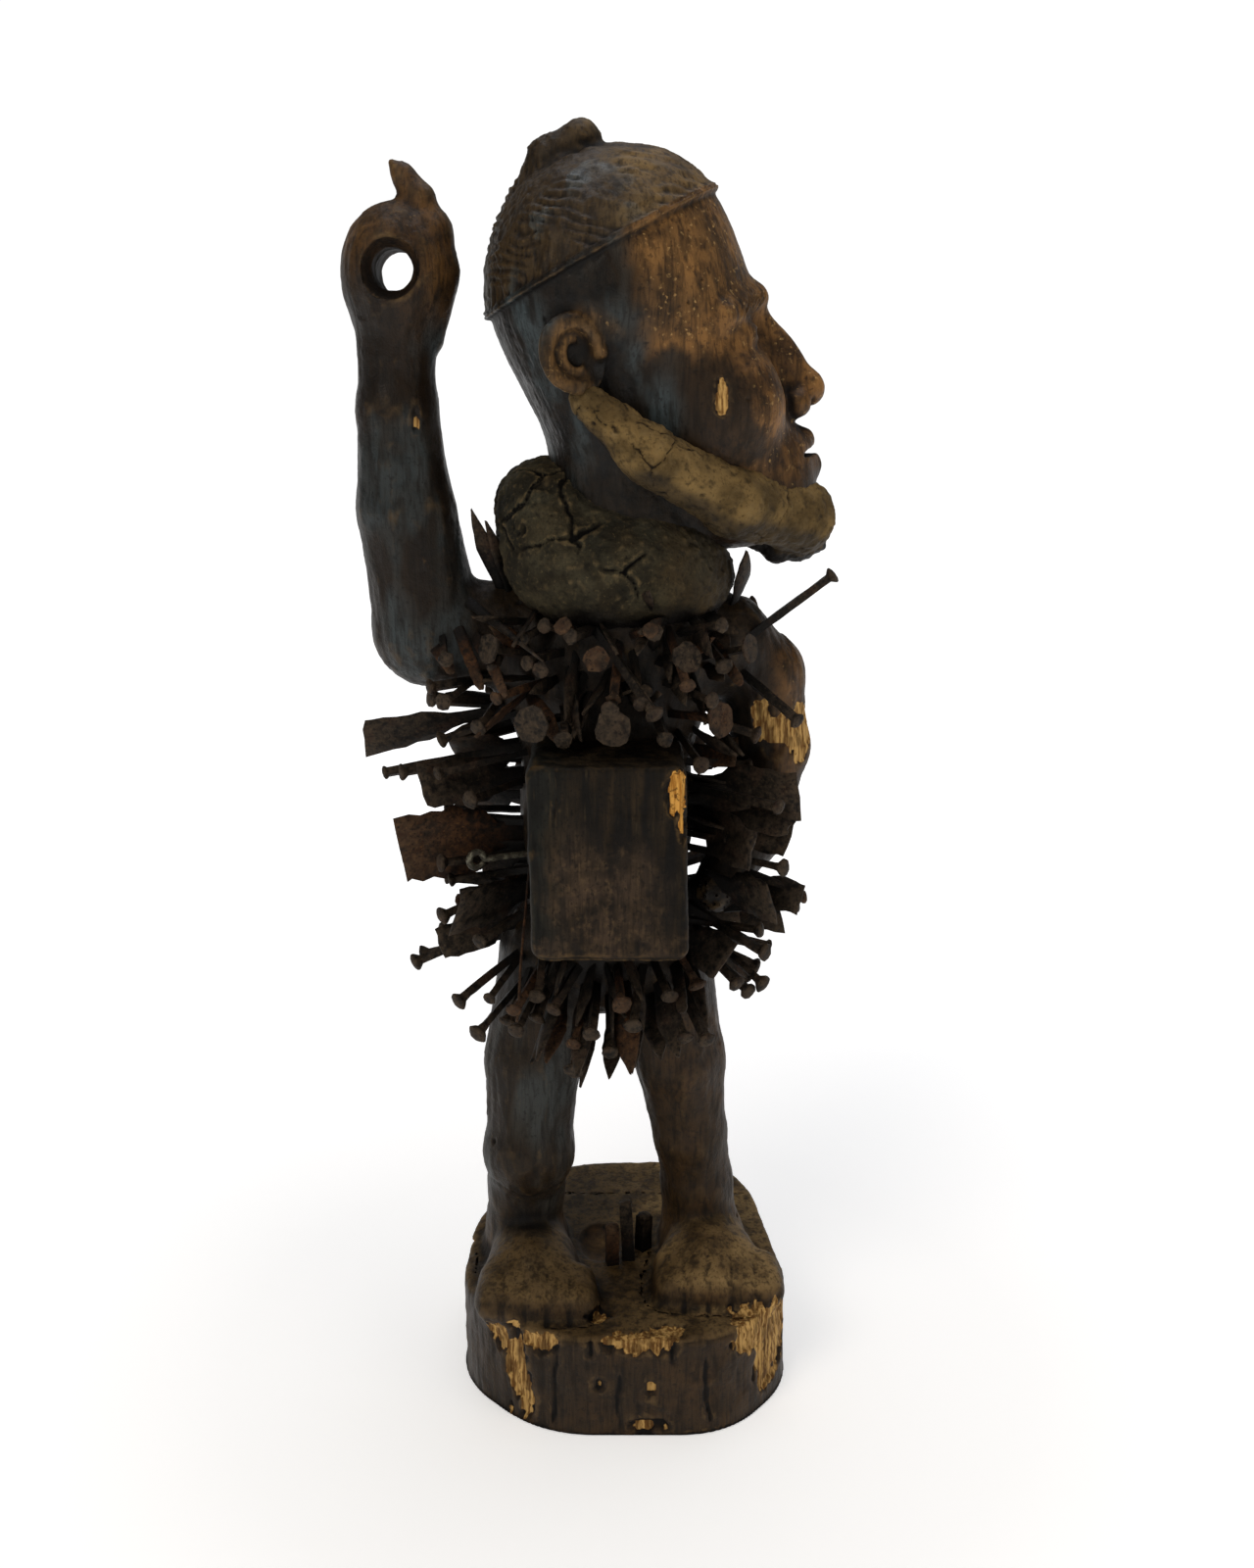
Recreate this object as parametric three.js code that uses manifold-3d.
// A carved wooden nkisi nkondi figure on its own block, with a clay collar and beard,
// a wooden medicine box on the belly, and forged iron driven into the body from every side.
// Millimetres, +Z up. The origin is the centre of the block's underside. The body faces -Y and
// the head is turned to the figure's left, towards +X.

import * as THREE from "three";
import Module from "manifold-3d";
import { mergeVertices } from "three/addons/utils/BufferGeometryUtils.js";

const wasm = await Module();
wasm.setup();

// Driving dimensions

const FIGURE_HEIGHT = 804; // soles to the top of the cap's knob
const BLOCK_WIDTH = 242; // the block that the feet are carved on, along X
const BLOCK_DEPTH = 246; // along Y
const BLOCK_HEIGHT = 76;
const BLOCK_EDGE = 7; // how far the block's edges are worn round
const BACK_RISE = 0.075; // slope of the block's top behind the feet, up towards its back

const GRIP_BORE = 24; // diameter of the hole through the raised fist
const GRIP_MOUTH = 37; // diameter of that hole where it flares at each end
const GRIP_FLARE = 14; // depth of the flare
const GRIP_LEAN = 3; // degrees that the hole's far end leans down and inward

const BOX_WIDTH = 102; // medicine box, along X
const BOX_HEIGHT = 130;
const BOX_DEPTH = 96; // from its seat in the belly to its front
const BOX_FRONT = 124; // from the figure's centre plane to the front of the box
const BOX_CORNER = 9; // radius of its corners, seen from the front

const FIT_GAP = 0.4; // clear space left round every piece that is let into the wood
const CLAY_GAP = 2.2; // between the modelled clay and the wood that it grips

const SHANK_WIDTH = 4.8; // forged nail, across the shank under its head
const NAIL_HEAD = 11.5; // across a plain nail's head
const HEAD_THICKNESS = 3;
const DRIVEN_DEPTH = 20; // length of iron inside the wood
const BLADE_THICKNESS = 2.4;
const PLATE_THICKNESS = 2.2;
const BLADE_TANG = 0.28; // half of the tang's width in the wood, as a share of the blade's width
const PLATE_TANG = 0.16;

const MESH_STEP = 4.4; // cell of the grid that the carving is read on
const FIGURE_FACES = 4000; // triangles left on the carving after thinning
const COLLAR_FACES = 560;
const BEARD_FACES = 360;

// The carving below is drawn 804 mm tall from its soles and scales with FIGURE_HEIGHT.

const DRAWN_HEIGHT = 804;
const SCALE = FIGURE_HEIGHT / DRAWN_HEIGHT;
const HEAD_TILT = 17; // degrees that the head is tipped back
const HEAD_CENTRE = [16.5, 0, 652.5]; // between the eyes' level and the middle of the skull
const HEAD_MIDDLE = [HEAD_CENTRE[0] - 14, HEAD_CENTRE[1], HEAD_CENTRE[2] + 38];
const HEAD_REACH = 178; // from that middle to past the knob and the chin
const FIST_CENTRE = [-146, -15, 708];

// Fields: each is a function of a point that gives its distance to a surface, negative inside.

const ball = ([cx, cy, cz], r) => (x, y, z) =>
  Math.sqrt((x - cx) ** 2 + (y - cy) ** 2 + (z - cz) ** 2) - r;

function egg([cx, cy, cz], [rx, ry, rz]) {
  return (x, y, z) => {
    const a = (x - cx) / rx;
    const b = (y - cy) / ry;
    const c = (z - cz) / rz;
    const reach = Math.sqrt(a * a + b * b + c * c);
    const slope = Math.sqrt((a / rx) ** 2 + (b / ry) ** 2 + (c / rz) ** 2);
    return slope < 1e-9 ? -Math.min(rx, ry, rz) : (reach * (reach - 1)) / slope;
  };
}

// A limb between two points, with a radius at each.
function limb(a, b, ra, rb) {
  const along = [b[0] - a[0], b[1] - a[1], b[2] - a[2]];
  const square = along[0] ** 2 + along[1] ** 2 + along[2] ** 2;
  return (x, y, z) => {
    const px = x - a[0];
    const py = y - a[1];
    const pz = z - a[2];
    const t = (px * along[0] + py * along[1] + pz * along[2]) / square;
    const s = Math.min(1, Math.max(0, t));
    const away = Math.sqrt((px - s * along[0]) ** 2 + (py - s * along[1]) ** 2 + (pz - s * along[2]) ** 2);
    return away - (ra + (rb - ra) * s);
  };
}

const softer = (a, b, k) => Math.max(k - Math.abs(a - b), 0) ** 2 / (4 * k);

// Fields run together, with a fillet of about k where they meet.
const join = (k, ...fields) => (x, y, z) => {
  let d = fields[0](x, y, z);
  for (let i = 1; i < fields.length; i += 1) {
    const e = fields[i](x, y, z);
    d = Math.min(d, e) - softer(d, e, k);
  }
  return d;
};

// The first field with the others scooped out of it.
const scoop = (k, field, ...cutters) => (x, y, z) => {
  let d = field(x, y, z);
  for (const cutter of cutters) {
    const e = -cutter(x, y, z);
    d = Math.max(d, e) + softer(d, e, k);
  }
  return d;
};

const bothSides = (field) => (x, y, z) => field(x, Math.abs(y), z);

// A field that is only worked out near a ball round it, to save time.
const within = (centre, r, field) => {
  const rough = ball(centre, r);
  return (x, y, z) => {
    const away = rough(x, y, z);
    return away > 30 ? away : field(x, y, z);
  };
};

// A chain of limbs through points, each given as [x, y, z, radius].
const chain = (k, ...stops) =>
  join(k, ...stops.slice(1).map((stop, i) => limb(stops[i], stop, stops[i][3], stop[3])));

// The head, in its own frame: +X out of the face, +Z up, origin at the eyes' level.

function headField() {
  const skull = join(
    14,
    egg([-14, 0, 48], [79, 85, 86]),
    egg([14, 0, 30], [60, 68, 56]),
    egg([12, 0, 66], [58, 68, 62]),
  );
  const hairline = (x, y, z) => (z - 88) * 0.98 - (x - 58) * 0.198;
  const cap = (x, y, z) => Math.max(skull(x, y, z) - 3, -hairline(x, y, z));
  const band = (x, y, z) => Math.hypot(skull(x, y, z) - 1.6, hairline(x, y, z)) - 3.4;
  const knob = chain(8, [-50, 0, 119, 11], [-28, 0, 136, 14], [-4, 0, 143, 14]);

  const cheeks = bothSides(egg([40, 40, -42], [30, 27, 30]));
  const face = join(24, egg([14, 0, -38], [60, 67, 88]), egg([40, 0, -104], [41, 46, 32]), cheeks);
  const nape = egg([-44, 0, -20], [37, 60, 58]);
  const muzzle = egg([55, 0, -84], [27, 34, 26]);
  const brow = bothSides(limb([74, 7, 17], [50, 56, 12], 9, 7));
  const bridge = egg([73, 0, -32], [19, 12, 30]);
  const nose = join(7, limb([72, 0, 8], [90, 0, -44], 7, 10), ball([92, 0, -49], 11), bridge);
  const nostrils = bothSides(ball([82, 13, -55], 9));
  const sockets = bothSides(egg([81, 32, -3], [19, 21, 12]));
  const lids = bothSides(egg([57, 32, -3], [12.5, 17, 9]));
  const gaze = bothSides(egg([71, 32, -4], [5, 12, 2.2]));
  const upperLip = bothSides(limb([81, 0, -79], [64, 25, -87], 7, 4));
  const lowerLip = bothSides(limb([80, 0, -96], [64, 23, -89], 8, 4.5));
  const mouth = egg([86, 0, -87.5], [22, 26, 2.2]);

  const earSeat = egg([-45, 76, 17], [19, 12, 25]);
  const earRim = (x, y, z) => {
    const across = Math.hypot((x + 46) / 0.84, z - 18) - 19;
    const out = y - 85 + 0.3 * (x + 46);
    const opening = 0.8 * (x + 46) - 0.6 * (z - 18) - 14;
    return Math.max(Math.hypot(across * 0.82, out) - 4.6, opening);
  };
  const concha = egg([-43, 88, 16], [11, 10, 15]);
  const ear = bothSides(scoop(5, join(6, earSeat, earRim), concha));

  const bare = join(14, join(26, skull, face, nape), muzzle);
  const browed = scoop(12, join(10, bare, brow), sockets);
  const featured = join(7, browed, nose, nostrils, lids, upperLip, lowerLip);
  const carved = join(3, scoop(2.5, featured, mouth, gaze), ear, cap, band);
  return join(5, carved, knob);
}

const tiltCos = Math.cos(THREE.MathUtils.degToRad(HEAD_TILT));
const tiltSin = Math.sin(THREE.MathUtils.degToRad(HEAD_TILT));

// A field of the head's frame, set in the body's.
const onHead = (field) => (x, y, z) => {
  const dx = x - HEAD_CENTRE[0];
  const dz = z - HEAD_CENTRE[2];
  return field(dx * tiltCos + dz * tiltSin, y - HEAD_CENTRE[1], dz * tiltCos - dx * tiltSin);
};

// The body, in drawn millimetres from the soles

function bodyFields() {
  const chest = egg([-14, 4, 442], [76, 58, 62]);
  const waist = egg([-14, 2, 350], [62, 57, 110]);
  const hips = egg([-14, 6, 246], [74, 58, 52]);
  const shoulders = limb([-78, 2, 470], [68, 2, 466], 30, 29);
  const trunk = join(26, chest, waist, hips, shoulders);
  const neck = limb([2, 0, 470], [4, 0, 620], 61, 54);

  const raisedArm = chain(
    5,
    [-74, 2, 470, 35],
    [-134, -6, 474, 38],
    [-146, -13, 556, 33],
    [-149.5, -15, 620, 27.5],
    [-149, -15, 656, 25],
    [-146, -15, 690, 32],
  );
  const fist = egg(FIST_CENTRE, [37, 36, 42]);
  const finger = chain(
    8,
    [-124, -18, 664, 7],
    [-119, -18, 706, 11],
    [-123, -17, 731, 12],
    [-132, -16, 750, 10],
    [-141, -15, 764, 7],
    [-148, -15, 772, 3.5],
  );

  const restingArm = chain(
    6,
    [66, 4, 466, 32],
    [93, 14, 440, 30],
    [101, 18, 388, 28],
    [88, 4, 330, 24],
    [62, -12, 292, 18],
  );

  const rightLeg = chain(
    6,
    [-54, 4, 236, 39],
    [-68, -3, 160, 36],
    [-72, -8, 96, 32],
    [-75, 4, 56, 29],
    [-78, 14, 8, 30],
  );
  const leftLeg = chain(
    6,
    [22, 4, 236, 40],
    [38, 0, 160, 33],
    [46, 4, 100, 28],
    [52, 10, 56, 27],
    [56, 14, 8, 30],
  );
  const kneecap = egg([-71, -14, 88], [31, 26, 30]);

  return { trunk, neck, raisedArm, fist, finger, restingArm, rightLeg, leftLeg, kneecap };
}

// A foot: heel, a broad instep that slopes to a straight front, and five toes side by side.
function footField([heelX, heelY], [toeX, toeY], width) {
  const side = width / 2;
  const instep = [heelX + (toeX - heelX) * 0.45, heelY + (toeY - heelY) * 0.45];
  const heel = egg([heelX, heelY + 12, 6], [side * 0.72, 30, 28]);
  const arch = egg([...instep, 2], [side * 0.9, 50, 36]);
  const [padInner, padOuter] = [-1, 1].map((way) => [toeX + way * side * 0.66, toeY + 12, 2]);
  const pad = limb(padInner, padOuter, 16, 16);
  const toes = [-2, -1, 0, 1, 2].map((i) => {
    const x = toeX + i * side * 0.42;
    const y = toeY + Math.abs(i);
    return limb([x, y + 30, 10], [x, y + 2, 4], side * 0.22, side * 0.22);
  });
  return join(16, heel, arch, pad, join(7, ...toes));
}

// The block: a log cut to eight unequal flats, worn round at the edges.
function blockField() {
  const flats = [
    [0, 0.47],
    [52, 0.52],
    [99, 0.465],
    [140, 0.6],
    [182, 0.53],
    [226, 0.53],
    [268, 0.5],
    [314, 0.505],
  ].map(([turn, share]) => {
    const angle = THREE.MathUtils.degToRad(turn);
    return [Math.sin(angle) / BLOCK_WIDTH, -Math.cos(angle) / BLOCK_DEPTH, share];
  });
  const size = (BLOCK_WIDTH + BLOCK_DEPTH) / 2;
  return (x, y, z) => {
    let side = -Infinity;
    for (const [nx, ny, share] of flats) {
      const e = (x * nx + y * ny - share) * size;
      side = Math.max(side, e) + softer(side, e, BLOCK_EDGE * 4);
    }
    const top = z - BLOCK_HEIGHT - BACK_RISE * Math.max(0, y);
    return Math.max(side, top) + softer(side, top, BLOCK_EDGE);
  };
}

const body = bodyFields();
const head = headField();
const rightFoot = footField([-74, 14], [-64, -84], 76);
const leftFoot = footField([55, 14], [66, -66], 82);
const carving = join(
  9,
  body.trunk,
  body.neck,
  join(7, join(12, body.raisedArm, body.fist), body.finger),
  body.restingArm,
  join(10, body.rightLeg, body.kneecap),
  body.leftLeg,
  rightFoot,
  leftFoot,
  within(HEAD_MIDDLE, HEAD_REACH, onHead(head)),
);

// A drawn field at the figure's real size, standing on the block.
const standing = (field) => (x, y, z) =>
  field(x / SCALE, y / SCALE, (z - BLOCK_HEIGHT) / SCALE) * SCALE;
const place = (x, y, z) => new THREE.Vector3(x * SCALE, y * SCALE, z * SCALE + BLOCK_HEIGHT);

const standingFigure = join(8, standing(carving), blockField());
const figure = (x, y, z) => Math.max(standingFigure(x, y, z), -6 - z);

const collarLobes = join(
  24,
  egg([-8, 0, 524], [72, 70, 36]),
  egg([-50, 0, 556], [38, 52, 34]),
  egg([22, 0, 506], [48, 62, 30]),
  egg([-14, -34, 520], [60, 40, 40]),
);
const beardStrap = onHead(
  bothSides(chain(7, [-46, 76, -12, 12], [-20, 76, -54, 17], [24, 54, -100, 21], [64, 10, -126, 24])),
);

// The surface where a field is zero, as a closed mesh. The space is cut into cells of six
// tetrahedra. Blocks of cells that lie far from the surface are passed over.

const CORNERS = [0, 1, 2, 3, 4, 5, 6, 7].map((i) => [i & 1, (i >> 1) & 1, (i >> 2) & 1]);
// Each tetrahedron goes from corner 0 to corner 7 along one edge and then another.
const TETRAHEDRA = [0, 1, 2].flatMap((first) =>
  [0, 1, 2]
    .filter((second) => second !== first)
    .map((second) => [0, 1 << first, (1 << first) | (1 << second), 7]),
);
const BLOCK_CELLS = 6;
const FAR = 1.6; // a field may overstate a distance by this much

const difference = (p, q) => [p[0] - q[0], p[1] - q[1], p[2] - q[2]];
const cross = (u, w) => [u[1] * w[2] - u[2] * w[1], u[2] * w[0] - u[0] * w[2], u[0] * w[1] - u[1] * w[0]];
const dot = (u, w) => u[0] * w[0] + u[1] * w[1] + u[2] * w[2];
const midway = (p, q) => [(p[0] + q[0]) / 2, (p[1] + q[1]) / 2, (p[2] + q[2]) / 2];

// The faces that one tetrahedron gives for each pattern of corners inside, as pairs of corners
// whose edges the surface crosses, ordered so that they face away from the inside.
function facesFor(four, pattern) {
  const inside = four.filter((_, n) => pattern & (1 << n));
  const outside = four.filter((_, n) => !(pattern & (1 << n)));
  if (!inside.length || !outside.length) return [];
  const pairs = inside.flatMap((p) => outside.map((q) => [p, q]));
  const [a, b, c, d] = pairs;
  const faces = pairs.length === 3 ? [[a, b, c]] : [[a, b, d], [a, d, c]];
  return faces.map((face) => {
    const [p, q, r] = face.map(([m, n]) => midway(CORNERS[m], CORNERS[n]));
    const turn = dot(cross(difference(q, p), difference(r, p)), difference(CORNERS[inside[0]], p));
    return turn > 0 ? [face[0], face[2], face[1]] : face;
  });
}
const PATTERNS = [...Array(16).keys()];
const FACE_TABLE = TETRAHEDRA.map((four) => PATTERNS.map((pattern) => facesFor(four, pattern)));

function surfaceOf(field, low, high, step) {
  const count = low.map((v, i) => Math.ceil((high[i] - v) / step / BLOCK_CELLS) * BLOCK_CELLS);
  const row = count[0] + 1;
  const layer = row * (count[1] + 1);
  const total = layer * (count[2] + 1);
  const values = new Float32Array(total).fill(NaN);
  const steps = CORNERS.map(([a, b, c]) => a + b * row + c * layer);
  const at = (id) => {
    const k = Math.floor(id / layer);
    const j = Math.floor((id - k * layer) / row);
    return [low[0] + (id - k * layer - j * row) * step, low[1] + j * step, low[2] + k * step];
  };
  const points = [];
  const faces = [];
  const edges = new Map();
  const crossing = (m, n) => {
    const [p, q] = m < n ? [m, n] : [n, m];
    const key = p * 8 + steps.indexOf(q - p);
    let index = edges.get(key);
    if (index === undefined) {
      const t = Math.min(0.96, Math.max(0.04, values[p] / (values[p] - values[q])));
      const from = at(p);
      const to = at(q);
      index = points.length;
      points.push(from.map((v, i) => v + (to[i] - v) * t));
      edges.set(key, index);
    }
    return index;
  };
  const readCell = (i, j, k) => {
    const first = i + j * row + k * layer;
    let signs = 0;
    for (let n = 0; n < 8; n += 1) {
      const id = first + steps[n];
      if (Number.isNaN(values[id])) values[id] = field(...at(id)) || 1e-6;
      if (values[id] < 0) signs |= 1 << n;
    }
    if (signs === 0 || signs === 255) return;
    TETRAHEDRA.forEach((four, t) => {
      const pattern = four.reduce((bits, n, bit) => bits | (((signs >> n) & 1) << bit), 0);
      for (const face of FACE_TABLE[t][pattern])
        faces.push(face.map(([m, n]) => crossing(first + steps[m], first + steps[n])));
    });
  };
  const reach = (BLOCK_CELLS * step * Math.sqrt(3) * FAR) / 2;
  const middle = (BLOCK_CELLS * step) / 2;
  for (let k = 0; k < count[2]; k += BLOCK_CELLS)
    for (let j = 0; j < count[1]; j += BLOCK_CELLS)
      for (let i = 0; i < count[0]; i += BLOCK_CELLS) {
        const centre = at(i + j * row + k * layer).map((v) => v + middle);
        if (Math.abs(field(...centre)) > reach) continue;
        for (let c = 0; c < BLOCK_CELLS; c += 1)
          for (let b = 0; b < BLOCK_CELLS; b += 1)
            for (let a = 0; a < BLOCK_CELLS; a += 1) readCell(i + a, j + b, k + c);
      }
  return { points, faces };
}

// Thins a closed mesh by folding up the edges that matter least to its form, measured by the
// squared distance to the planes that have met at each point. care weighs one place over another.

function missBy(m, [x, y, z]) {
  const slopes = m[3] * x + m[6] * y + m[8] * z;
  const mixed = m[1] * x * y + m[2] * x * z + m[5] * y * z;
  return m[0] * x * x + m[4] * y * y + m[7] * z * z + 2 * (mixed + slopes) + m[9];
}

// The point that misses the planes least, or the best of the edge's ends and middle
function bestPoint(m, p, q) {
  const middle = midway(p, q);
  const rows = [
    [m[0], m[1], m[2]],
    [m[1], m[4], m[5]],
    [m[2], m[5], m[7]],
  ];
  const det = dot(rows[0], cross(rows[1], rows[2]));
  let best = missBy(m, p) < missBy(m, q) ? p : q;
  if (missBy(m, middle) < missBy(m, best)) best = middle;
  if (Math.abs(det) < 1e-6) return best;
  const offset = [-m[3] / det, -m[6] / det, -m[8] / det];
  const found = [
    dot(offset, cross(rows[1], rows[2])),
    dot(offset, cross(rows[2], rows[0])),
    dot(offset, cross(rows[0], rows[1])),
  ];
  const drift = Math.hypot(...difference(found, middle));
  return drift < 2 * Math.hypot(...difference(p, q)) ? found : best;
}

// A queue that gives back its cheapest entry first
function cheapestFirst() {
  const heap = [];
  const push = (entry) => {
    let i = heap.length;
    heap.push(entry);
    while (i > 0) {
      const up = (i - 1) >> 1;
      if (heap[up].cost <= entry.cost) break;
      heap[i] = heap[up];
      i = up;
    }
    heap[i] = entry;
  };
  const pop = () => {
    const top = heap[0];
    const last = heap.pop();
    const size = heap.length;
    let i = 0;
    while (2 * i + 1 < size) {
      let child = 2 * i + 1;
      if (child + 1 < size && heap[child + 1].cost < heap[child].cost) child += 1;
      if (heap[child].cost >= last.cost) break;
      heap[i] = heap[child];
      i = child;
    }
    if (size) heap[i] = last;
    return top;
  };
  return { push, pop, isEmpty: () => heap.length === 0 };
}

function thin({ points, faces }, wanted, care = () => 1) {
  const around = points.map(() => []);
  const planes = points.map(() => new Float64Array(10));
  const stamp = new Int32Array(points.length);
  const mark = new Int32Array(points.length);
  let tag = 0;
  const normalAt = (p, q, r) => cross(difference(q, p), difference(r, p));
  faces.forEach((face, f) => {
    const [p, q, r] = face.map((v) => points[v]);
    const n = normalAt(p, q, r);
    const size = Math.hypot(...n) + 1e-12;
    const [a, b, c] = n.map((v) => v / size);
    const d = -dot([a, b, c], p);
    const terms = [a * a, a * b, a * c, a * d, b * b, b * c, b * d, c * c, c * d, d * d];
    const weight = (size / 2) * care(...p);
    for (const v of face) {
      around[v].push(f);
      for (let i = 0; i < 10; i += 1) planes[v][i] += terms[i] * weight;
    }
  });
  const queue = cheapestFirst();
  const offer = (u, v) => {
    const sum = new Float64Array(10);
    for (let i = 0; i < 10; i += 1) sum[i] = planes[u][i] + planes[v][i];
    const to = bestPoint(sum, points[u], points[v]);
    const length = Math.hypot(...difference(points[u], points[v]));
    queue.push({ cost: missBy(sum, to) + 1e-4 * length, u, v, to, at: stamp[u] + stamp[v] });
  };
  const ringOf = (v) => {
    const ring = [];
    tag += 1;
    mark[v] = tag;
    for (const f of around[v])
      for (const w of faces[f])
        if (mark[w] !== tag) {
          mark[w] = tag;
          ring.push(w);
        }
    return ring;
  };
  const turnsOver = (v, other, to) => {
    for (const f of around[v]) {
      const [a, b, c] = faces[f];
      if (a === other || b === other || c === other) continue;
      const before = normalAt(points[a], points[b], points[c]);
      const after = normalAt(a === v ? to : points[a], b === v ? to : points[b], c === v ? to : points[c]);
      const square = dot(before, before) * dot(after, after);
      const agree = dot(before, after);
      if (agree < 0 || agree * agree < 0.06 * square) return true;
    }
    return false;
  };
  for (const [a, b, c] of faces) {
    if (a < b) offer(a, b);
    if (b < c) offer(b, c);
    if (c < a) offer(c, a);
  }
  let left = faces.length;
  while (left > wanted && !queue.isEmpty()) {
    const { u, v, to, at } = queue.pop();
    if (!around[u].length || !around[v].length || at !== stamp[u] + stamp[v]) continue;
    const near = ringOf(u);
    ringOf(v);
    const shared = near.filter((w) => w !== v && mark[w] === tag).length;
    if (shared !== 2 || turnsOver(u, v, to) || turnsOver(v, u, to)) continue;
    points[u] = to;
    for (let i = 0; i < 10; i += 1) planes[u][i] += planes[v][i];
    for (const f of around[v]) {
      if (faces[f].includes(u)) {
        for (const w of faces[f]) if (w !== v) around[w].splice(around[w].indexOf(f), 1);
        faces[f] = null;
        left -= 1;
      } else {
        faces[f][faces[f].indexOf(v)] = u;
        around[u].push(f);
      }
    }
    around[v] = [];
    stamp[u] += 1;
    stamp[v] += 1;
    for (const w of ringOf(u)) offer(u, w);
  }
  return { points, faces: faces.filter(Boolean) };
}

// Solids: booleans run on closed meshes and come back as geometries.

function solidOf(geometry) {
  const bare = geometry.index ? geometry.toNonIndexed() : geometry.clone();
  for (const name of Object.keys(bare.attributes)) if (name !== "position") bare.deleteAttribute(name);
  const merged = mergeVertices(bare, 1e-3);
  return new wasm.Manifold(
    new wasm.Mesh({
      numProp: 3,
      vertProperties: new Float32Array(merged.attributes.position.array),
      triVerts: new Uint32Array(merged.index.array),
    }),
  );
}

function geometryOf(solid) {
  const { vertProperties, triVerts } = solid.getMesh();
  return new THREE.BufferGeometry()
    .setAttribute("position", new THREE.BufferAttribute(vertProperties, 3))
    .setIndex(new THREE.BufferAttribute(triVerts, 1))
    .toNonIndexed();
}

function solidOfMesh({ points, faces }) {
  return new wasm.Manifold(
    new wasm.Mesh({
      numProp: 3,
      vertProperties: new Float32Array(points.flat()),
      triVerts: new Uint32Array(faces.flat()),
    }),
  );
}

const largestOf = (solid) => solid.decompose().reduce((a, b) => (a.volume() > b.volume() ? a : b));

// A box between two corners
function brick(low, high) {
  const size = high.map((v, i) => v - low[i]);
  const middle = high.map((v, i) => (v + low[i]) / 2);
  return new THREE.BoxGeometry(...size).translate(...middle);
}

// A round solid turned about Z from [radius, height] points that start and end on the axis
function turned(profile, sides) {
  const points = profile.map(([r, h]) => new THREE.Vector2(r, h));
  return new THREE.LatheGeometry(points, sides).rotateX(Math.PI / 2);
}

// Carved wood: the figure and the block in one piece

// The corners of the space that the carving and the block fill
const bodyLow = place(-200, -150, 0);
const bodyHigh = place(150, 160, HEAD_CENTRE[2] + 160);
const blockReach = 0.62; // from the middle to past its widest corner, as a share of its size
const spaceLow = [
  Math.min(bodyLow.x, -BLOCK_WIDTH * blockReach),
  Math.min(bodyLow.y, -BLOCK_DEPTH * blockReach),
  -3 * MESH_STEP,
];
const spaceHigh = [
  Math.max(bodyHigh.x, BLOCK_WIDTH * blockReach),
  Math.max(bodyHigh.y, BLOCK_DEPTH * blockReach),
  bodyHigh.z,
];

const chinLevel = place(0, 0, 560).z;
const trunkTop = place(0, 0, 480).z;
const trunkFoot = place(0, 0, 220).z;
const armInside = place(-100, 0, 0).x;
// The head and the raised hand keep more of their form than the trunk under the iron.
function carvingCare(x, y, z) {
  if (z > chinLevel) return 5;
  if (z > trunkFoot && z < trunkTop && x > armInside) return 0.35;
  return z < BLOCK_HEIGHT * 0.8 ? 0.5 : 1.2;
}

const figureMesh = thin(surfaceOf(figure, spaceLow, spaceHigh, MESH_STEP), FIGURE_FACES, carvingCare);
const under = brick([-400, -400, -100], [400, 400, 0]);

const gripAt = place(...FIST_CENTRE).sub(new THREE.Vector3(0, 0, 2 * SCALE));
const gripLean = THREE.MathUtils.degToRad(GRIP_LEAN);
const gripHalf = 60 * SCALE;
const grip = turned(
  [
    [0, -gripHalf],
    [GRIP_MOUTH / 2 + 6, -gripHalf],
    [GRIP_MOUTH / 2, -36 * SCALE],
    [GRIP_BORE / 2, -36 * SCALE + GRIP_FLARE],
    [GRIP_BORE / 2, 36 * SCALE - GRIP_FLARE],
    [GRIP_MOUTH / 2, 36 * SCALE],
    [GRIP_MOUTH / 2 + 6, gripHalf],
    [0, gripHalf],
  ],
  14,
)
  .rotateX(Math.PI / 2 - gripLean)
  .rotateZ(-gripLean)
  .translate(gripAt.x, gripAt.y, gripAt.z);

// Medicine box

const boxAt = place(-12, 0, 343);
const TOP_LEFT_CUT = 5; // how far the box's top corners stand in, as it was cut by eye
const TOP_RIGHT_CUT = 2;
function boxGeometry(grow) {
  const w = BOX_WIDTH / 2 + grow;
  const h = BOX_HEIGHT / 2 + grow;
  const r = BOX_CORNER + grow;
  const outline = new THREE.Shape();
  outline.moveTo(-w + r, -h);
  outline.lineTo(w - r, -h);
  outline.absarc(w - r, -h + r, r, -Math.PI / 2, 0);
  outline.lineTo(w - TOP_RIGHT_CUT, h - r);
  outline.absarc(w - r - TOP_RIGHT_CUT, h - r, r, 0, Math.PI / 2);
  outline.lineTo(-w + r + TOP_LEFT_CUT, h);
  outline.absarc(-w + r + TOP_LEFT_CUT, h - r, r, Math.PI / 2, Math.PI);
  outline.lineTo(-w, -h + r);
  outline.absarc(-w + r, -h + r, r, Math.PI, Math.PI * 1.5);
  const bevel = 2.5;
  const geometry = new THREE.ExtrudeGeometry(outline, {
    depth: BOX_DEPTH - 2 * bevel + 2 * grow,
    bevelEnabled: true,
    bevelSize: bevel,
    bevelOffset: -bevel,
    bevelThickness: bevel,
    bevelSegments: 1,
    curveSegments: 3,
  });
  const backY = BOX_DEPTH - BOX_FRONT + grow;
  return geometry.translate(0, 0, bevel).rotateX(Math.PI / 2).translate(boxAt.x, backY, boxAt.z);
}

// Iron. Each piece is made along +Z with z = 0 where it leaves the wood.

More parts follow.
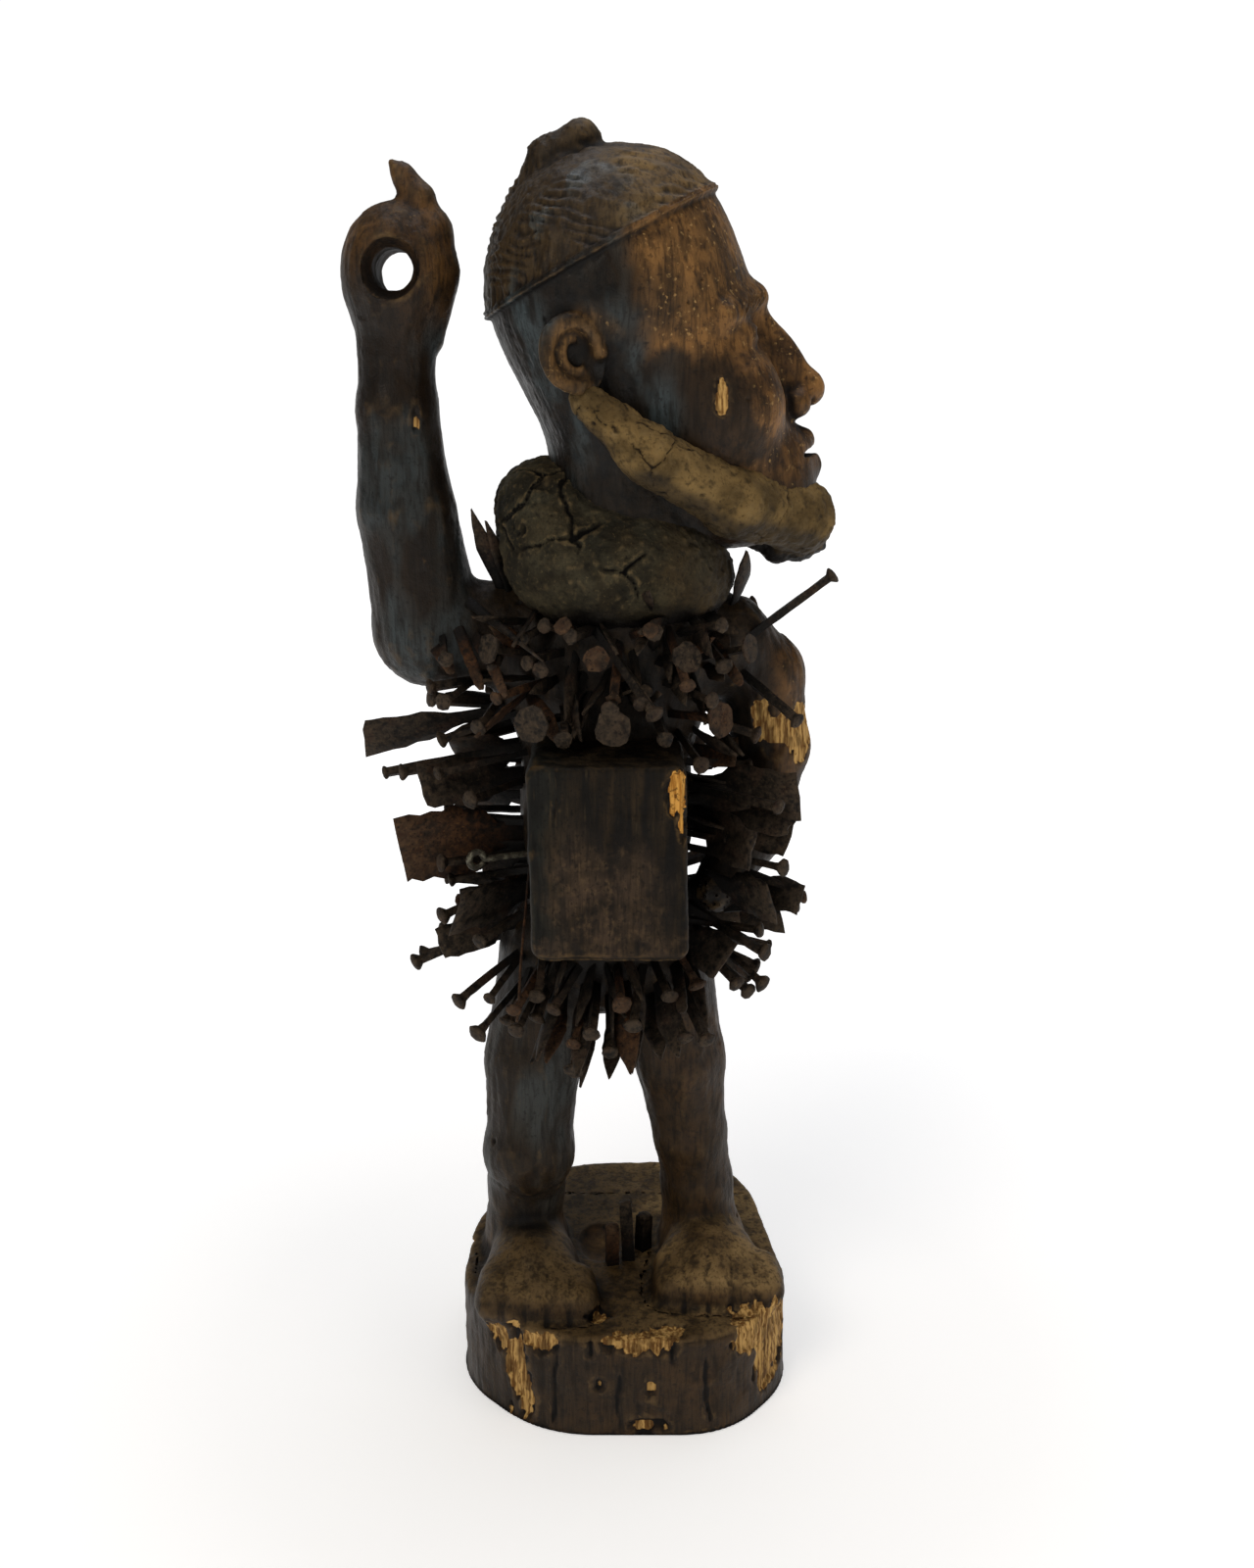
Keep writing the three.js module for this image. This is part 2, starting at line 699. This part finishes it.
function nailGeometry({ length, head = NAIL_HEAD, sides = 6, dish = 0.6 }) {
  const shank = SHANK_WIDTH / 2;
  return turned(
    [
      [0, -DRIVEN_DEPTH],
      [shank * 0.8, -DRIVEN_DEPTH + 3],
      [shank, length - HEAD_THICKNESS * 1.6],
      [head / 2, length - HEAD_THICKNESS * 0.7],
      [head / 2, length - HEAD_THICKNESS * 0.2],
      [0, length + dish],
    ],
    sides,
  );
}

const discGeometry = ({ length, head }) => nailGeometry({ length, head, sides: 9, dish: -0.6 });

// A flat piece cut from an outline of [across, along] points, with a tang in the wood
function sheetGeometry(outline, thickness) {
  const shape = new THREE.Shape(outline.map(([x, y]) => new THREE.Vector2(x, y)));
  return new THREE.ExtrudeGeometry(shape, { depth: thickness, bevelEnabled: false })
    .translate(0, 0, -thickness / 2)
    .rotateX(Math.PI / 2);
}

function bladeGeometry({ length, width }) {
  const tang = width * BLADE_TANG;
  return sheetGeometry(
    [
      [-tang, -DRIVEN_DEPTH],
      [tang, -DRIVEN_DEPTH],
      [tang, length * 0.12],
      [width / 2, length * 0.55],
      [width * 0.1, length],
      [-width * 0.16, length * 0.97],
      [-width / 2, length * 0.48],
      [-tang, length * 0.1],
    ],
    BLADE_THICKNESS,
  );
}

function plateGeometry({ length, width }) {
  const tang = width * PLATE_TANG;
  return sheetGeometry(
    [
      [-tang, -DRIVEN_DEPTH],
      [tang, -DRIVEN_DEPTH],
      [tang, length * 0.36],
      [width * 0.34, length * 0.46],
      [width * 0.5, length],
      [-width * 0.46, length * 0.93],
      [-width * 0.38, length * 0.48],
      [-tang, length * 0.38],
    ],
    PLATE_THICKNESS,
  );
}

function eyeGeometry({ length, width }) {
  const wire = 2.4;
  const ring = new THREE.TorusGeometry(width / 2 - wire, wire, 5, 10)
    .rotateX(Math.PI / 2)
    .translate(0, 0, length - width / 2);
  const shank = turned(
    [
      [0, -DRIVEN_DEPTH],
      [wire * 0.8, -DRIVEN_DEPTH],
      [wire * 0.9, length - width + wire],
      [0, length - width + wire],
    ],
    6,
  );
  return geometryOf(solidOf(shank).add(solidOf(ring)));
}

const IRON_KINDS = {
  nail: nailGeometry,
  disc: discGeometry,
  blade: bladeGeometry,
  plate: plateGeometry,
  eye: eyeGeometry,
};

// Where a ray from the trunk's middle leaves the wood, at a height and a turn from the front.
// A turn of 90 looks along +X, the figure's left.
const trunkAxis = place(-14, 4, 0);
const woodOnly = standing(carving);
function rootAt(height, turn, from = trunkAxis.x) {
  const angle = THREE.MathUtils.degToRad(turn);
  const out = new THREE.Vector3(Math.sin(angle), -Math.cos(angle), 0);
  const at = new THREE.Vector3(from, trunkAxis.y, place(0, 0, height).z);
  while (woodOnly(at.x, at.y, at.z) < 0) at.addScaledVector(out, 0.5);
  return at;
}

// Puts a piece at its root, aimed by its own turn and rise, and rolled about its length.
function drivenIn(geometry, root, turn, rise, roll) {
  const a = THREE.MathUtils.degToRad(turn);
  const e = THREE.MathUtils.degToRad(rise);
  const along = new THREE.Vector3(Math.sin(a) * Math.cos(e), -Math.cos(a) * Math.cos(e), Math.sin(e));
  const side = new THREE.Vector3(Math.cos(a), Math.sin(a), 0);
  const up = new THREE.Vector3().crossVectors(along, side);
  const basis = new THREE.Matrix4().makeBasis(side, up, along);
  const rolled = new THREE.Matrix4().makeRotationZ(THREE.MathUtils.degToRad(roll));
  return geometry.clone().applyMatrix4(basis.multiply(rolled)).translate(root.x, root.y, root.z);
}

// The driven iron, row by row from the chest down. Each piece has its kind, the turn of its root,
// its length outside the wood and its width. Pieces point straight out from the trunk, raised on
// the chest and sinking towards the hips; under the box they point forward and hang.

const IRON_ROWS = [
  { height: 480, rise: 14, pieces: [["nail", -26, 34], ["nail", 16, 36], ["nail", 42, 38]] },
  { height: 476, rise: 38, pieces: [["nail", 76, 62]] },
  { height: 462, rise: 14, pieces: [["disc", -46, 42, 22], ["disc", -4, 34, 18], ["disc", 30, 34, 22]] },
  { height: 462, rise: 14, pieces: [["disc", 56, 38, 20]] },
  { height: 446, rise: -4, pieces: [["nail", -66, 46], ["nail", -40, 44]] },
  { height: 446, rise: -4, pieces: [["nail", 12, 44], ["nail", 36, 46]] },
  { height: 446, rise: -24, fan: 0.55, pieces: [["nail", 74, 54]] },
  { height: 438, rise: -28, pieces: [["blade", -50, 50, 16], ["blade", -12, 42, 14]] },
  { height: 424, rise: 4, pieces: [["disc", -26, 48, 27], ["disc", 3, 52, 26], ["disc", 44, 44, 26]] },
  { height: 418, rise: -12, pieces: [["plate", -86, 98, 36]] },
  { height: 392, rise: -8, pieces: [["nail", -80, 92], ["nail", -66, 62]] },
  { height: 366, rise: -2, pieces: [["nail", -78, 60], ["nail", 76, 60]] },
  { height: 342, rise: -2, pieces: [["nail", -100, 54], ["plate", 70, 70, 34], ["nail", 112, 50]] },
  { height: 320, rise: 0, pieces: [["plate", -82, 84, 46], ["eye", -66, 46, 15]] },
  { height: 288, rise: 6, pieces: [["nail", -92, 56], ["nail", 74, 46], ["nail", 106, 50]] },
  { height: 268, rise: -6, pieces: [["nail", -80, 50], ["plate", 92, 58, 24], ["nail", -112, 52]] },
  { height: 248, rise: -16, pieces: [["nail", -96, 58, 15], ["nail", 100, 44]] },
  { height: 248, rise: -16, fan: 0.4, pieces: [["nail", -60, 48], ["nail", 8, 40, 15], ["nail", 34, 36, 13]] },
  { height: 234, rise: -38, fan: 0.4, pieces: [["blade", -34, 62, 15], ["blade", -14, 70, 18]] },
  { height: 234, rise: -38, fan: 0.4, pieces: [["blade", 12, 66, 20], ["blade", 38, 60, 18]] },
  { height: 234, rise: -38, pieces: [["nail", 112, 50]] },
];
const NAIL_KINDS = ["nail", "disc", "eye"];

// Flat pieces are rolled about their length, so that those at the sides show their faces in front.
const rolledFlat = (turn) => 12 + 44 * Math.abs(Math.sin(THREE.MathUtils.degToRad(turn)));
const DRIVEN = IRON_ROWS.flatMap(({ height, rise, fan = 1, pieces }) =>
  pieces.map(([kind, turn, length, width = NAIL_HEAD]) => {
    const roll = NAIL_KINDS.includes(kind) ? 0 : rolledFlat(turn);
    return [kind, height, turn, turn * fan, rise, length, width, roll];
  }),
);

// Iron at the back stands in three columns, higher pieces raised more.
const BACK_COLUMNS = 3;
const BACK_LEVELS = 3;
const BACK_KINDS = [
  ["nail", 12],
  ["blade", 14],
  ["nail", 12],
  ["disc", 20],
];
for (let i = 0; i < BACK_COLUMNS * BACK_LEVELS; i += 1) {
  const column = Math.floor(i / BACK_LEVELS);
  const level = i % BACK_LEVELS;
  const height = 274 + 70 * level + 24 * (column % 2);
  const turn = 132 + 42 * column + (level % 2 ? -8 : 8);
  const [kind, width] = BACK_KINDS[i % BACK_KINDS.length];
  DRIVEN.push([kind, height, turn, turn, -12 + 16 * level, 54 + 8 * ((i * 5) % 4), width, (i * 50) % 180]);
}

// Three pegs are driven into the block between the feet: place, length and lean.
const PEGS = [
  [-11, -14, 30, 5],
  [1, -7, 44, -3],
  [12, 6, 26, 4],
];

const ironPieces = [];
const holes = [];
const holeFoot = -DRIVEN_DEPTH - FIT_GAP;
const holeMouth = 12; // past the wood's surface, however it slopes
const holeCorner = (SHANK_WIDTH / 2 + FIT_GAP) / Math.cos(Math.PI / 4);
const shankHole = () =>
  turned(
    [
      [0, holeFoot],
      [holeCorner, holeFoot],
      [holeCorner, holeMouth],
      [0, holeMouth],
    ],
    4,
  );
const tangHole = (share, width, thickness) => {
  const half = share * width + FIT_GAP;
  const flat = thickness / 2 + FIT_GAP;
  return brick([-half, -flat, holeFoot], [half, flat, holeMouth]);
};
const holeFor = {
  nail: shankHole,
  disc: shankHole,
  eye: shankHole,
  blade: (width) => tangHole(BLADE_TANG, width, BLADE_THICKNESS),
  plate: (width) => tangHole(PLATE_TANG, width, PLATE_THICKNESS),
};

DRIVEN.forEach(([kind, height, turn, aim, rise, length, width, roll], i) => {
  const at = rootAt(height, turn);
  const made = IRON_KINDS[kind]({ length: length * SCALE, head: width, width });
  const name = `${kind}_${String(i + 1).padStart(2, "0")}`;
  ironPieces.push([name, drivenIn(made, at, aim, rise, roll)]);
  holes.push(drivenIn(holeFor[kind](width), at, aim, rise, roll));
});

PEGS.forEach(([x, y, length, lean], i) => {
  const at = new THREE.Vector3(x * SCALE, y * SCALE, BLOCK_HEIGHT);
  const made = nailGeometry({ length: length * SCALE, head: NAIL_HEAD });
  ironPieces.push([`peg_${i + 1}`, drivenIn(made, at, i * 70, 90 - lean, 0)]);
  holes.push(drivenIn(holeFor.nail(), at, i * 70, 90 - lean, 0));
});

const cutters = [under, grip, boxGeometry(FIT_GAP), ...holes].map(solidOf);
const figureSolid = largestOf(solidOfMesh(figureMesh).subtract(wasm.Manifold.union(cutters)));

// Clay: what lies clear of the wood inside the modelled lobes

const clay = (lobes) => (x, y, z) => Math.max(lobes(x, y, z), CLAY_GAP - woodOnly(x, y, z));
const collarLow = [-110, -100, 480].map((v) => v * SCALE);
const collarHigh = [100, 100, 625].map((v) => v * SCALE);
const beardLow = [-60, -120, 500].map((v) => v * SCALE);
const beardHigh = [150, 120, 690].map((v) => v * SCALE);
const lifted = ([x, y, z]) => [x, y, z + BLOCK_HEIGHT];
const collarMesh = thin(
  surfaceOf(clay(standing(collarLobes)), lifted(collarLow), lifted(collarHigh), MESH_STEP),
  COLLAR_FACES,
);
const beardMesh = thin(
  surfaceOf(clay(standing(beardStrap)), lifted(beardLow), lifted(beardHigh), MESH_STEP),
  BEARD_FACES,
);

// The assembled group

const WOOD = { color: 0x3a2f22, roughness: 0.62, metalness: 0 };
const CLAY = { color: 0x4a4334, roughness: 0.92, metalness: 0 };
const BOX_WOOD = { color: 0x3a2e20, roughness: 0.7, metalness: 0 };
const IRON = { color: 0x2f2822, roughness: 0.72, metalness: 0.55 };
const RUST = { color: 0x5a3a20, roughness: 0.85, metalness: 0.3 };

const assembly = new THREE.Group();
assembly.name = "nkisi_nkondi";
function add(name, geometry, finish) {
  const mesh = new THREE.Mesh(geometry, new THREE.MeshStandardMaterial(finish));
  mesh.name = name;
  assembly.add(mesh);
}

add("figure", geometryOf(figureSolid), WOOD);
add("clay_collar", geometryOf(largestOf(solidOfMesh(collarMesh))), CLAY);
add("clay_beard", geometryOf(largestOf(solidOfMesh(beardMesh))), CLAY);
add("medicine_box", boxGeometry(0), BOX_WOOD);
ironPieces.forEach(([name, geometry], i) => add(name, geometry, i % 4 === 1 ? RUST : IRON));

export default assembly;
